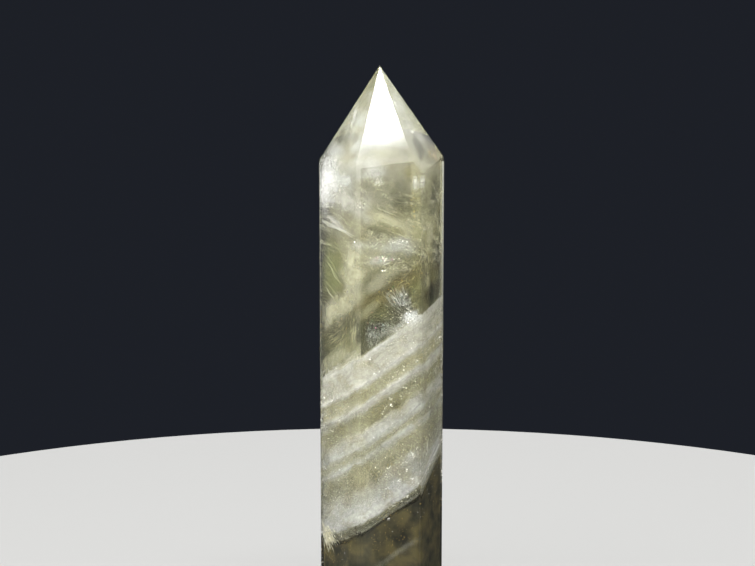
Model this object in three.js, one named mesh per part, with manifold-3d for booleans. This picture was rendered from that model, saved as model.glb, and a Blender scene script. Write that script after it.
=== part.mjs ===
// A polished citrine crystal point: a six-sided prism under a hand-cut six-sided termination.
// Millimetres, +Z up. The origin is the centre of the polished base that the crystal stands on,
// and the prism face turned towards the front looks close to -Y.
import * as THREE from "three";
import { mergeVertices } from "three/addons/utils/BufferGeometryUtils.js";
import Module from "manifold-3d";

// Driving dimensions.
const HEIGHT = 160; // base to tip
const CORNER_RADIUS = 16.6; // axis to a long edge of the prism
const SIDES = 6;
const FRONT_FACE_AZIMUTH = -81.65; // degrees, direction that the front prism face looks
const TIP_OFFSET_X = -0.59; // the tip was ground slightly off the axis
const EDGE_FLAT_WIDTH = 0.35; // polished flat along each long edge
const WIDE_EDGE_FLAT_WIDTH = 1.2; // and along the edge where the front face meets the left one
const WIDE_EDGE_SIDE = 5; // which edge that is, counted from the one right of the front face
const BASE_CHAMFER = 0.6; // broken edge round the base
const PRISM_OVERRUN = 4; // extra prism height that the termination facets cut away

// The termination: one ground facet for each side, all through the tip.
// azimuth is the way a facet looks, slope its angle from level, both in degrees.
const TIP_FACETS = [
  { name: "front", azimuth: -85.4, slope: 59.4 },
  { name: "front_right", azimuth: -28.4, slope: 59.6 },
  { name: "back_right", azimuth: 40.2, slope: 59.9 },
  { name: "back", azimuth: 96.1, slope: 59.2 },
  { name: "back_left", azimuth: 159.8, slope: 60.3 },
  { name: "front_left", azimuth: -141.7, slope: 60.2 },
];

const wasm = await Module();
wasm.setup();

const SIDE_ANGLE = 360 / SIDES;
const FACE_DISTANCE = CORNER_RADIUS * Math.cos(THREE.MathUtils.degToRad(SIDE_ANGLE / 2));
const CUTTER_SIZE = HEIGHT * 3;

function toSolid(geometry) {
  const bare = geometry.clone();
  bare.deleteAttribute("normal");
  bare.deleteAttribute("uv");
  const merged = mergeVertices(bare);
  return new wasm.Manifold(
    new wasm.Mesh({
      numProp: 3,
      vertProperties: new Float32Array(merged.attributes.position.array),
      triVerts: new Uint32Array(merged.index.array),
    }),
  );
}

function toGeometry(solid) {
  const { vertProperties, triVerts, numProp } = solid.getMesh();
  const positions = new Float32Array((vertProperties.length / numProp) * 3);
  for (let i = 0; i < positions.length / 3; i += 1) {
    positions.set(vertProperties.subarray(i * numProp, i * numProp + 3), i * 3);
  }
  const geometry = new THREE.BufferGeometry();
  geometry.setAttribute("position", new THREE.BufferAttribute(positions, 3));
  geometry.setIndex(new THREE.BufferAttribute(new Uint32Array(triVerts), 1));
  const flat = geometry.toNonIndexed();
  flat.computeVertexNormals();
  return flat;
}

function outline(radius) {
  const shape = new THREE.Shape();
  for (let side = 0; side < SIDES; side += 1) {
    const azimuth = FRONT_FACE_AZIMUTH + SIDE_ANGLE * (side + 0.5);
    const angle = THREE.MathUtils.degToRad(azimuth);
    const x = radius * Math.cos(angle);
    const y = radius * Math.sin(angle);
    if (side === 0) shape.moveTo(x, y);
    else shape.lineTo(x, y);
  }
  shape.closePath();
  return shape;
}

// The way a plane looks, from its azimuth and its slope from level (90 is upright, 180 faces down).
function direction(azimuth, slope) {
  const a = THREE.MathUtils.degToRad(azimuth);
  const s = THREE.MathUtils.degToRad(slope);
  return new THREE.Vector3(Math.sin(s) * Math.cos(a), Math.sin(s) * Math.sin(a), Math.cos(s));
}

// A block whose lower face lies on the plane through a point; subtracting it grinds one facet.
function grindingBlock(normal, point) {
  const block = new THREE.BoxGeometry(CUTTER_SIZE, CUTTER_SIZE, CUTTER_SIZE);
  block.translate(0, 0, CUTTER_SIZE / 2);
  block.applyQuaternion(
    new THREE.Quaternion().setFromUnitVectors(new THREE.Vector3(0, 0, 1), normal),
  );
  block.translate(point.x, point.y, point.z);
  return toSolid(block);
}

function grindTip(body) {
  const tip = new THREE.Vector3(TIP_OFFSET_X, 0, HEIGHT);
  return TIP_FACETS.reduce(
    (solid, facet) => solid.subtract(grindingBlock(direction(facet.azimuth, facet.slope), tip)),
    body,
  );
}

function grindLongEdges(body) {
  const halfCorner = THREE.MathUtils.degToRad(90 - SIDE_ANGLE / 2);
  let solid = body;
  for (let side = 0; side < SIDES; side += 1) {
    const width = side === WIDE_EDGE_SIDE ? WIDE_EDGE_FLAT_WIDTH : EDGE_FLAT_WIDTH;
    const flatDistance = CORNER_RADIUS - width / 2 / Math.tan(halfCorner);
    const normal = direction(FRONT_FACE_AZIMUTH + SIDE_ANGLE * (side + 0.5), 90);
    solid = solid.subtract(grindingBlock(normal, normal.clone().multiplyScalar(flatDistance)));
  }
  return solid;
}

function grindBaseEdge(body) {
  let solid = body;
  for (let side = 0; side < SIDES; side += 1) {
    const azimuth = FRONT_FACE_AZIMUTH + SIDE_ANGLE * side;
    const onFace = direction(azimuth, 90).multiplyScalar(FACE_DISTANCE);
    onFace.z = BASE_CHAMFER;
    solid = solid.subtract(grindingBlock(direction(azimuth, 135), onFace));
  }
  return solid;
}

function crystalPoint() {
  const prism = new THREE.ExtrudeGeometry(outline(CORNER_RADIUS), {
    depth: HEIGHT + PRISM_OVERRUN,
    bevelEnabled: false,
  });
  const ground = grindBaseEdge(grindLongEdges(grindTip(toSolid(prism))));
  const material = new THREE.MeshStandardMaterial({
    name: "citrine",
    color: new THREE.Color(0.78, 0.74, 0.58),
    roughness: 0.05,
    metalness: 0,
  });
  const mesh = new THREE.Mesh(toGeometry(ground), material);
  mesh.name = "crystal_point";
  return mesh;
}

const root = new THREE.Group();
root.name = "citrine_crystal_point";
root.add(crystalPoint());

export default root;
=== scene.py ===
"""Looks of a polished citrine point: a see-through six-sided body with what grew and healed inside it."""
import math
from collections import namedtuple

import bmesh
import bpy
import numpy as np
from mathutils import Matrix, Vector, noise


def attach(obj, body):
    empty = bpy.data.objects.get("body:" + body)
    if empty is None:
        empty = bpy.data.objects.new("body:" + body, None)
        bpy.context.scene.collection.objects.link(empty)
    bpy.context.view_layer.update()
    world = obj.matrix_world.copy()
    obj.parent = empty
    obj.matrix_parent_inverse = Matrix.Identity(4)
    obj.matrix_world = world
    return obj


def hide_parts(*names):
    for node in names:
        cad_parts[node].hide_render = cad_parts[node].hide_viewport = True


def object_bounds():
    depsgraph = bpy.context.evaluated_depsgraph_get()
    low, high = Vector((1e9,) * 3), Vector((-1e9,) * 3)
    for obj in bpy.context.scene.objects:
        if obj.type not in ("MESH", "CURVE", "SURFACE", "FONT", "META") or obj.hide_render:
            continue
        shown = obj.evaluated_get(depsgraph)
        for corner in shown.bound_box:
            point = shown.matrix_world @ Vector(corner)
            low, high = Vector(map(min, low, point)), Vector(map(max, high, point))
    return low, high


MM = 0.001
NODE = "crystal_point"

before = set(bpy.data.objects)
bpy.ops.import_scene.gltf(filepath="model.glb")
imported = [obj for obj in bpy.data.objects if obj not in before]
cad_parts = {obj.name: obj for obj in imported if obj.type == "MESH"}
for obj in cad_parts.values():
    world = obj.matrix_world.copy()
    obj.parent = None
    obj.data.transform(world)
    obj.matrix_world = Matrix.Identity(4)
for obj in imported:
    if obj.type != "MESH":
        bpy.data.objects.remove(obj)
cad_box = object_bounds()

# Growth planes: the milky layers lie parallel to these, leaning up to the right.
GROWTH_RISE_X = 0.715  # rise for each unit to the right
GROWTH_RISE_Y = -0.08  # rise for each unit towards the back
GROWTH_NORMAL = Vector((-GROWTH_RISE_X, -GROWTH_RISE_Y, 1.0)).normalized()
MILK_TOP = 88.9  # growth height where the milk stops
LIFT_TOP = 60.0  # the lowest layers turn up near both sides, and this one no more
LIFT_FADE = 15.0
RIGHT_LIFT = (9.5, 0.95)  # where it starts, and rise for each unit further out
LEFT_LIFT = (8.0, 0.3)

# The stone's own tints, except the two marked below as painted shade.
WHITE = (0.97, 0.97, 0.95)
CREAM = (0.93, 0.92, 0.84)
STRAW = (0.84, 0.82, 0.60)
OLIVE = (0.58, 0.57, 0.36)
TEA = (0.30, 0.26, 0.11)
HONEY = (0.46, 0.40, 0.17)
MOSS = (0.50, 0.53, 0.19)
PEARL = (0.91, 0.93, 0.91)
RUST = (0.62, 0.50, 0.30)
# Painted shade: a dark grey-olive tint for films where the stone only looks darker.
PAINTED_SHADE = (0.15, 0.15, 0.10)
# Painted shade, near black, for a wedge of the stone that only looks dark.
PAINTED_DEEP_SHADE = (0.03, 0.03, 0.025)
PEAT = (0.27, 0.26, 0.10)
BUTTER = (0.90, 0.88, 0.64)

# What grew one after the other: growth height in millimetres up the axis, share of milk, tint.
Layer = namedtuple("Layer", "height milk tint")
LAYERS = (
    Layer(40.6, 0.0, OLIVE),
    Layer(41.1, 0.5, CREAM),
    Layer(41.6, 0.14, OLIVE),
    Layer(42.4, 0.2, OLIVE),
    Layer(43.6, 0.82, WHITE),
    Layer(48.5, 0.5, PEARL),
    Layer(52.0, 0.4, CREAM),
    Layer(54.5, 0.38, STRAW),
    Layer(58.0, 0.48, STRAW),
    Layer(60.5, 0.7, PEARL),
    Layer(62.0, 0.5, STRAW),
    Layer(64.5, 0.8, PEARL),
    Layer(67.5, 0.75, CREAM),
    Layer(69.0, 0.5, STRAW),
    Layer(72.0, 0.45, OLIVE),
    Layer(73.8, 0.7, CREAM),
    Layer(75.0, 1.0, WHITE),
    Layer(76.4, 0.58, STRAW),
    Layer(79.0, 0.58, STRAW),
    Layer(80.6, 1.0, WHITE),
    Layer(82.0, 0.68, CREAM),
    Layer(86.0, 0.66, CREAM),
    Layer(88.3, 0.95, WHITE),
    Layer(MILK_TOP, 0.07, OLIVE),
    Layer(96.0, 0.09, MOSS),
    Layer(98.5, 0.17, TEA),
    Layer(102.5, 0.17, TEA),
    Layer(105.0, 0.17, OLIVE),
    Layer(112.0, 0.18, STRAW),
    Layer(122.0, 0.17, STRAW),
    Layer(132.0, 0.16, CREAM),
    Layer(142.0, 0.26, PEARL),
)
SHEET_HEIGHTS = (44, 60, 64.5, 67.5, 75, 80.8, 88.7)  # layers with a sheet of their own

# Compass direction that the three upright faces in view look, in degrees.
FACES = {"left": -141.65, "front": -81.65, "right": -21.65}

# Patches reach back through the stone from these faces along one compass direction, and downwards.
PATCH_WAYS = {"left": 69.0, "front": 93.0, "right": 121.0}
PATCH_DROP = 0.105

# Soft lens-shaped patches behind the faces, in millimetres: milky and coloured clouds, and dark patches of
# painted shade where the stone only looks darker. "across" is to the right of the face's centre line,
# "wide", "tall" and "deep" are half sizes, and "turn" is how far it leans up to the right.
Patch = namedtuple("Patch", "face across height depth wide tall deep turn share tint")
CLOUDS_AND_PAINTED_SHADE = (
    Patch("left", -3.5, 138.0, 3.0, 6.0, 2.5, 3.0, 0, 0.6, PEARL),
    Patch("left", -1.8, 142.6, 4.4, 3.4, 2.2, 2.5, 30, 1.2, PAINTED_SHADE),
    Patch("right", -4.8, 140.5, 4.2, 2.2, 4.4, 2.8, 0, 1.5, PAINTED_SHADE),
    Patch("right", -0.5, 138.5, 2.8, 0.8, 3.0, 2.0, 10, 0.6, OLIVE),
    Patch("front", -1.0, 138.6, 3.0, 5.5, 1.6, 2.0, 6, 0.5, OLIVE),
    Patch("right", 3.5, 141.0, 4.0, 0.8, 4.0, 2.0, 25, 0.6, WHITE),
    Patch("right", 7.2, 143.5, 4.8, 1.2, 5.0, 2.2, 13, 1.5, WHITE),
    Patch("right", 2.5, 136.5, 1.8, 2.0, 3.5, 2.0, 15, 0.6, RUST),
    Patch("right", 5.6, 138.5, 2.2, 1.6, 3.0, 2.0, 15, 1.2, RUST),
    Patch("right", -1.3, 100.6, 1.0, 1.8, 3.4, 2.0, -12, 1.6, PAINTED_DEEP_SHADE),
    Patch("front", 3.2, 100.3, 2.2, 0.8, 0.8, 0.8, 0, 0.8, PAINTED_SHADE),
    Patch("front", 3.0, 72.5, 1.0, 2.0, 0.8, 1.0, 35, 0.6, HONEY),
    Patch("left", -5.5, 73.0, 1.0, 1.6, 0.8, 1.0, 27, 0.5, PAINTED_SHADE),
    Patch("left", -5.0, 130.5, 2.0, 5.8, 5.2, 5.0, 0, 1.3, WHITE),
    Patch("left", -7.5, 127.0, 2.0, 2.8, 4.5, 4.0, 0, 1.3, WHITE),
    Patch("left", 1.5, 131.5, 3.0, 6.5, 3.0, 4.0, -15, 0.8, PEARL),
    Patch("left", 3.0, 126.0, 3.0, 7.0, 2.6, 5.0, -25, 0.8, CREAM),
    Patch("left", -1.0, 120.0, 2.5, 8.5, 1.0, 3.0, -18, 0.8, CREAM),
    Patch("left", 7.4, 115.0, 1.5, 2.6, 1.8, 2.5, 0, 0.5, PEARL),
    Patch("left", -3.5, 107.0, 3.0, 4.5, 8.5, 8.0, 0, 0.5, MOSS),
    Patch("left", 5.0, 107.0, 2.0, 4.0, 9.5, 4.0, 0, 0.95, BUTTER),
    Patch("left", 0.5, 98.0, 1.2, 10.0, 3.4, 4.0, 30, 0.9, BUTTER),
    Patch("left", 0.0, 89.8, 1.0, 9.0, 4.2, 2.5, 28, 0.9, PEAT),
    Patch("left", 0.5, 84.2, 1.0, 9.0, 1.8, 2.5, 27, 0.35, STRAW),
    Patch("front", -4.5, 134.0, 2.0, 3.5, 2.5, 4.0, 0, 0.5, WHITE),
    Patch("front", 6.6, 131.0, 1.0, 0.5, 2.0, 1.0, 10, 0.9, WHITE),
    Patch("right", -6.8, 131.2, 1.0, 0.7, 1.6, 1.2, -15, 0.9, WHITE),
    Patch("front", -3.0, 130.8, 1.2, 1.7, 1.0, 1.2, 10, 1.0, STRAW),
    Patch("front", -1.0, 121.5, 3.0, 8.0, 1.4, 4.0, -22, 0.8, STRAW),
    Patch("front", -6.0, 124.0, 3.0, 2.5, 5.0, 4.0, 0, 0.5, CREAM),
    Patch("front", -4.7, 119.7, 1.5, 2.6, 1.4, 3.0, -10, 0.4, PAINTED_SHADE),
    Patch("front", 4.0, 124.7, 1.5, 2.6, 2.2, 3.0, -20, 0.4, PAINTED_SHADE),
    Patch("front", 1.0, 115.0, 2.0, 8.5, 2.4, 4.0, -6, 0.5, PEARL),
    Patch("front", -2.0, 111.0, 2.5, 4.0, 1.5, 3.0, 10, 0.7, CREAM),
    Patch("front", 0.5, 102.8, 1.5, 8.0, 1.6, 4.0, 34, 0.6, HONEY),
    Patch("front", -2.0, 106.2, 1.5, 8.5, 1.9, 3.0, 37, 0.45, BUTTER),
    Patch("front", -4.0, 99.5, 2.0, 6.0, 1.8, 4.0, 38, 0.45, OLIVE),
    Patch("front", -3.5, 92.5, 1.5, 4.5, 3.0, 3.0, 38, 0.45, PAINTED_SHADE),
    Patch("front", 5.5, 95.8, 1.2, 2.6, 1.5, 1.6, 35, 1.0, WHITE),
    Patch("front", 2.0, 93.0, 1.5, 3.0, 0.8, 2.0, 38, 0.7, CREAM),
    Patch("front", -1.5, 92.0, 1.0, 2.4, 1.2, 1.5, 35, 0.5, PEARL),
    Patch("right", 6.8, 117.0, 0.8, 1.3, 20.0, 1.2, 0, 0.8, BUTTER),
    Patch("right", -3.0, 117.0, 3.0, 4.5, 3.0, 5.0, 30, 0.5, STRAW),
    Patch("right", -4.5, 105.5, 2.0, 3.0, 2.5, 3.0, 60, 0.5, STRAW),
    Patch("front", 2.0, 33.0, 0.8, 8.0, 0.8, 1.5, 31, 0.4, STRAW),
)
WINDOWS = (
    Patch("front", 2.0, 128.0, 8.0, 5.5, 5.0, 26.0, 0, 0.75, None),
    Patch("right", -0.5, 126.5, 8.0, 3.4, 5.0, 26.0, 0, 0.75, None),
    Patch("right", 1.5, 112.0, 8.0, 2.6, 5.0, 26.0, 0, 0.8, None),
    Patch("front", -2.5, 118.0, 8.0, 4.5, 1.6, 26.0, -5, 0.7, None),
    Patch("left", -5.0, 123.0, 8.0, 3.2, 1.6, 26.0, -15, 0.8, None),
    Patch("left", -3.5, 109.5, 8.0, 4.0, 8.0, 26.0, 0, 0.9, None),
    Patch("front", -4.0, 105.0, 8.0, 4.0, 2.6, 26.0, 20, 0.6, None),
    Patch("front", -4.6, 94.0, 8.0, 3.8, 3.8, 26.0, 35, 0.7, None),
    Patch("front", 2.0, 100.0, 8.0, 4.0, 2.6, 26.0, 35, 0.6, None),
    Patch("right", -1.5, 101.5, 8.0, 6.0, 2.6, 26.0, 11, 1.0, None),
    Patch("front", 3.5, 83.5, 2.0, 2.2, 0.8, 3.0, 35, 0.6, None),
    Patch("front", 2.0, 73.0, 2.5, 2.6, 1.0, 5.0, 35, 0.9, None),
    Patch("front", -3.0, 69.5, 2.5, 3.0, 0.9, 5.0, 35, 0.8, None),
    Patch("left", -4.0, 65.0, 2.5, 3.0, 1.6, 5.0, 27, 0.7, None),
    Patch("left", 1.0, 63.0, 3.0, 8.0, 2.6, 5.0, 27, 0.35, None),
    Patch("left", 0.5, 49.0, 3.0, 9.0, 2.6, 6.0, 27, 0.4, None),
    Patch("left", -6.0, 56.0, 2.5, 2.6, 2.4, 5.0, 27, 0.7, None),
    Patch("front", -4.0, 53.5, 2.5, 2.0, 2.2, 5.0, 50, 0.8, None),
    Patch("front", -0.5, 58.0, 2.5, 2.2, 1.6, 5.0, 35, 0.6, None),
    Patch("right", 1.0, 66.0, 3.0, 5.0, 6.0, 7.0, 45, 0.6, None),
)
HEALED_SHARE = 0.6  # most that a healed crack hides of what lies behind it
RAGGEDNESS = 0.7  # how far a patch's outline wanders, for its smaller half size
MOST_RAGGED = 3.0
TIP_CLEAR_FROM = (139.0, 151.0)  # the ground tip is clearer than the shaft
TIP_CLEARNESS = 0.5
GRAIN_DEPTH = 2.5  # how quickly the grains thin out behind the outer faces
STREAK_LENGTH = 3.5  # length of a milky streak for its thickness
SMOKE_TOP = 41.0  # growth height where the smoky stone stops
HEALED_FADE = (104.0, 98.0)  # healed cracks fade out between these growth heights
POLISHED_ROUND = 0.07 * MM  # how far polishing has rounded each edge

# Room between the outer faces and what is sealed behind them.
FLAKE_MARGIN = 0.25 * MM
CRACK_MARGIN = 0.1 * MM
SHEET_INSET = 0.12 * MM

DOME_STRENGTH = 3.0
SIDE_STRENGTH = 0.8
KEY_STRENGTH = 3.0
KEY_WAY = (-0.64, -0.64, 0.42)  # the brightest part of the surroundings is that way
FLAG_WAY = (-0.78, 0.38, 0.50)  # and a dark flag hangs that way
FLAG_SHARE = 0.8
# Painted glints: the sparkle flakes glow this strongly besides what they reflect.
SPARKLE_PAINTED_GLINT = 1.05
# Painted light: the cloud grains glow this much, brightening them and hiding their shaded sides.
CLOUD_PAINTED_LIGHT = 0.35
LEFT_BIAS = 0.35  # how much brighter the left of the dome is than its middle
FAINT_LIGHT = 0.03  # light from every direction
SOFTBOX_SIDE = 0.40
SOFTBOX_POWER = 13.0
SOFTBOX_EDGE = (0.062, 0.122)  # where across the lamp its lower edge fades in
SOFTBOX_AZIMUTH = -77.0
SOFTBOX_ELEVATION = 66.35
SOFTBOX_DISTANCE = 0.8
FLOOR_RADIUS = 0.26
CAMERA_LENS = 90.1  # millimetres, on a sensor 36 wide
CAMERA_PITCH = 9.3  # degrees down
CAMERA_AIM = (-1.14, 0.0, 102.8)
CAMERA_DISTANCE = 0.5

# Old cracks that healed across the crystal: height at the axis, rise to the right, rise to the back.
HealedPlane = namedtuple("HealedPlane", "height rise_x rise_y")
HEALED_PLANES = (
    HealedPlane(109.0, -0.30, 0.15),
    HealedPlane(112.5, -0.42, 0.20),
    HealedPlane(117.5, -0.48, 0.12),
    HealedPlane(125.5, -0.44, 0.20),
)

# Fields of fine blades that fan out from a focus: place as in Patch, focus from the field's centre,
# how far blades stray from the fan, number of blades, longest blade and half width of the widest.
Feather = namedtuple(
    "Feather",
    "face across height depth wide tall deep focus_across focus_height stray count length width",
)
SILVER_FEATHERS = (
    Feather("front", 2.2, 101.0, 0.5, 3.0, 2.4, 0.3, 2.4, -5.5, 0.08, 190, 3.0, 0.05),
    Feather("front", 4.5, 99.5, 0.6, 2.4, 3.0, 0.4, -6.0, -2.0, 0.25, 60, 1.6, 0.04),
    Feather("front", 5.5, 96.4, 0.6, 2.4, 1.6, 0.4, 0.5, 5.0, 0.30, 300, 1.0, 0.05),
    Feather("front", 0.5, 93.5, 0.6, 4.5, 2.0, 0.4, -12.0, 10.0, 0.50, 200, 1.0, 0.045),
    Feather("front", -4.5, 91.0, 0.6, 3.2, 4.0, 0.4, -2.0, 12.0, 0.50, 360, 1.0, 0.045),
    Feather("front", 5.5, 59.0, 0.6, 1.4, 1.6, 0.4, 2.0, 9.0, 0.2, 90, 1.2, 0.05),
)
STRAW_FEATHERS = (
    Feather("left", 0.5, 91.0, 0.7, 4.0, 3.0, 0.6, 3.0, 6.0, 0.10, 50, 3.6, 0.03),
    Feather("left", -2.0, 88.5, 0.7, 4.0, 2.5, 0.6, 5.0, 3.5, 0.06, 60, 5.0, 0.03),
    Feather("left", 6.0, 92.5, 0.9, 1.4, 3.0, 0.8, 0.5, 14.0, 0.05, 40, 4.0, 0.05),
    Feather("right", -4.0, 108.0, 0.9, 2.5, 6.0, 0.8, -3.0, -16.0, 0.08, 100, 4.5, 0.03),
    Feather("front", 1.0, 105.0, 0.9, 7.0, 3.0, 0.8, -14.0, -8.0, 0.25, 70, 2.2, 0.02),
    Feather("left", -5.0, 34.5, 0.5, 2.6, 3.0, 0.3, -3.0, 5.0, 0.15, 320, 3.4, 0.13),
)

# Families of near-parallel hair cracks: place of the first, its run and drop, how many, how widely
# they are scattered, and half width.
HairCrack = namedtuple("HairCrack", "face across height run drop depth count scatter width")
HAIR_CRACKS = (
    HairCrack("left", -7.8, 119.6, 15.0, 3.2, 0.8, 6, 0.5, 0.07),
    HairCrack("left", -6.0, 109.4, 6.0, 4.6, 1.2, 4, 1.4, 0.06),
    HairCrack("left", -7.0, 104.0, 5.0, 4.0, 1.0, 3, 1.0, 0.05),
    HairCrack("front", -1.5, 109.5, 2.4, -1.0, 1.0, 4, 0.5, 0.08),
    HairCrack("right", -2.2, 114.0, -4.0, 4.0, 0.9, 2, 0.5, 0.09),
    HairCrack("right", -3.2, 62.0, -0.8, 5.0, 0.8, 9, 1.2, 0.07),
    HairCrack("front", -1.0, 121.0, 7.0, 3.0, 1.6, 4, 2.0, 0.05),
    HairCrack("left", -2.0, 148.5, -0.5, 3.0, 7.8, 4, 0.4, 0.10),
    HairCrack("right", 1.5, 138.0, 2.5, 3.0, 1.9, 5, 0.5, 0.10),
)

# Where flakes and grains lie: along growth layers, and scattered about spots.
FlakeLayer = namedtuple("FlakeLayer", "height thickness count")
FlakeSpot = namedtuple("FlakeSpot", "face across height depth wide tall deep count")
SPARKLE_LAYERS = (
    FlakeLayer(77.3, 0.6, 260),
    FlakeLayer(82.0, 0.8, 140),
    FlakeLayer(70.5, 0.9, 240),
    FlakeLayer(64.0, 1.2, 120),
    FlakeLayer(54.0, 1.5, 200),
    FlakeLayer(42.6, 0.5, 320),
    FlakeLayer(36.0, 2.0, 60),
)
SPARKLE_SPOTS = (
    FlakeSpot("front", 3.0, 100.5, 0.4, 1.6, 1.6, 0.2, 30),
    FlakeSpot("front", 5.5, 96.0, 0.4, 1.5, 1.0, 0.2, 45),
    FlakeSpot("front", -1.0, 97.0, 0.5, 1.5, 0.8, 0.2, 12),
    FlakeSpot("front", 3.8, 82.5, 0.3, 0.3, 0.3, 0.1, 8),
    FlakeSpot("front", 4.5, 77.5, 0.3, 0.6, 0.4, 0.1, 12),
    FlakeSpot("front", -8.0, 79.5, 0.3, 0.3, 0.8, 0.1, 10),
    FlakeSpot("left", -3.5, 131.0, 0.4, 3.0, 2.5, 0.2, 20),
    FlakeSpot("front", 5.5, 59.0, 0.4, 1.2, 1.2, 0.2, 25),
    FlakeSpot("left", 7.0, 115.5, 0.4, 1.5, 1.0, 0.2, 12),
    FlakeSpot("front", 2.5, 115.5, 0.4, 2.5, 0.6, 0.2, 25),
    FlakeSpot("front", -1.3, 111.3, 0.4, 1.8, 0.4, 0.2, 30),
    FlakeSpot("front", -1.5, 108.3, 0.4, 0.5, 0.2, 0.1, 14),
    FlakeSpot("left", -2.2, 147.6, 7.2, 0.4, 1.0, 0.2, 14),
    FlakeSpot("right", -1.3, 143.0, 5.3, 0.6, 0.2, 0.2, 12),
    FlakeSpot("right", -2.0, 150.5, 10.1, 0.4, 0.6, 0.2, 8),
)
GLINT_COUNTS = (("front", 14), ("left", 10), ("right", 3))  # small bright clusters behind each face
GLINT_REACH = 7.5  # how far to either side of a face's centre line they lie
GLINT_HEIGHTS = (40.0, 92.0)
GLINT_DEPTH = 0.35
GLINT_SIZES = (0.22, 0.18, 0.1)  # half width, height and depth of one cluster
GLINT_FLAKES = 9
BROWN_LAYERS = (
    FlakeLayer(82.0, 1.5, 900),
    FlakeLayer(77.4, 0.9, 2600),
    FlakeLayer(70.6, 1.2, 3800),
    FlakeLayer(62.4, 0.7, 1200),
    FlakeLayer(54.5, 2.0, 4200),
    FlakeLayer(42.2, 0.4, 900),
)
FROST_LAYERS = (
    FlakeLayer(94.0, 3.0, 3000),
    FlakeLayer(104.0, 5.0, 5000),
    FlakeLayer(114.0, 5.0, 7000),
    FlakeLayer(124.0, 5.0, 7000),
    FlakeLayer(134.0, 5.0, 6000),
)
FROST_SPOTS = (
    FlakeSpot("left", -1.5, 143.0, 5.5, 2.5, 3.5, 1.5, 500),
    FlakeSpot("right", 0.0, 142.0, 5.0, 3.0, 3.5, 1.5, 500),
    FlakeSpot("front", 0.0, 139.0, 3.5, 4.0, 2.0, 1.5, 400),
)
FROST_SPREAD = 1.2 * MM  # how far behind the faces most of the frost lies
SPARKLE_SPREAD = 0.25 * MM
CLOUD_SPOTS = (
    FlakeSpot("left", -5.2, 130.5, 0.5, 2.6, 2.6, 1.0, 7500),
    FlakeSpot("left", -7.0, 126.5, 0.5, 1.2, 2.0, 1.0, 2200),
    FlakeSpot("front", 5.5, 95.6, 0.4, 1.3, 0.8, 0.5, 900),
    FlakeSpot("front", 0.5, 115.2, 0.5, 3.8, 1.1, 1.0, 300),
    FlakeSpot("front", 6.5, 131.0, 0.4, 0.4, 1.0, 0.5, 300),
    FlakeSpot("right", -7.0, 131.0, 0.4, 0.5, 1.0, 0.5, 300),
    FlakeSpot("front", -3.0, 131.0, 0.4, 0.8, 0.5, 0.4, 200),
    FlakeSpot("left", -2.2, 147.4, 7.3, 0.4, 1.4, 0.4, 220),
    FlakeSpot("left", -2.0, 145.0, 6.2, 0.3, 0.6, 0.3, 60),
    FlakeSpot("right", -2.0, 150.3, 10.2, 0.3, 0.7, 0.3, 60),
    FlakeSpot("right", -1.3, 143.0, 5.5, 0.6, 0.2, 0.3, 70),
)
RAINBOW_SPOTS = (
    FlakeSpot("front", -1.3, 111.3, 0.4, 2.0, 0.5, 0.2, 90),
    FlakeSpot("front", 2.2, 102.0, 0.4, 2.6, 1.6, 0.3, 60),
    FlakeSpot("front", -4.0, 94.5, 0.5, 2.5, 2.0, 0.3, 150),
)
GOLD_LAYERS = (
    FlakeLayer(39.0, 1.6, 320),
    FlakeLayer(34.0, 3.0, 380),
    FlakeLayer(101.5, 1.5, 160),
)
GOLD_SPOTS = (
    FlakeSpot("front", -0.5, 36.1, 1.0, 3.6, 1.6, 0.8, 220),
    FlakeSpot("left", -1.0, 33.0, 1.0, 4.0, 3.0, 0.8, 160),
    FlakeSpot("front", 6.4, 126.4, 1.2, 0.4, 2.4, 0.4, 40),
    FlakeSpot("right", 2.0, 137.0, 1.9, 0.7, 1.0, 0.4, 60),
)


# ---------------------------------------------------------------- the body's own shape


def ground_faces(node):
    """Outward normal and distance from the origin of each flat face of the convex crystal."""
    rows = {}
    for face in node.data.polygons:
        distance = face.normal.dot(face.center)
        key = tuple(round(c, 3) for c in face.normal) + (round(distance, 4),)
        rows[key] = (*face.normal, distance)
    table = np.array(list(rows.values()))
    return table[:, :3], table[:, 3]


FACE_NORMALS, FACE_DISTANCES = ground_faces(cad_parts[NODE])


def depth_inside(points):
    """Distance from each point to the nearest outer face, positive inside the crystal."""
    return (FACE_DISTANCES[None, :] - points @ FACE_NORMALS.T).min(axis=1)


def new_object(name, mesh):
    obj = bpy.data.objects.new(name, mesh)
    bpy.context.scene.collection.objects.link(obj)
    return obj


def polished_body():
    """The crystal's skin: the CAD shape with every edge softened by polishing."""
    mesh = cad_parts[NODE].data.copy()
    mesh.materials.clear()
    shape = bmesh.new()
    shape.from_mesh(mesh)
    bmesh.ops.remove_doubles(shape, verts=shape.verts, dist=0.002 * MM)
    bmesh.ops.dissolve_limit(
        shape, angle_limit=math.radians(0.2), verts=shape.verts, edges=shape.edges
    )
    bmesh.ops.bevel(
        shape,
        geom=list(shape.edges),
        offset=POLISHED_ROUND,
        segments=2,
        profile=0.5,
        affect="EDGES",
        clamp_overlap=True,
    )
    bmesh.ops.triangulate(shape, faces=shape.faces)
    bmesh.ops.recalc_face_normals(shape, faces=shape.faces)
    shape.to_mesh(mesh)
    shape.free()
    return new_object("crystal_body", mesh)


# ---------------------------------------------------------------- places inside the stone


def growth_height(points):
    """How far up the axis the growth plane through each point crosses it."""
    return points[..., 2] - GROWTH_RISE_X * points[..., 0] - GROWTH_RISE_Y * points[..., 1]


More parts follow.
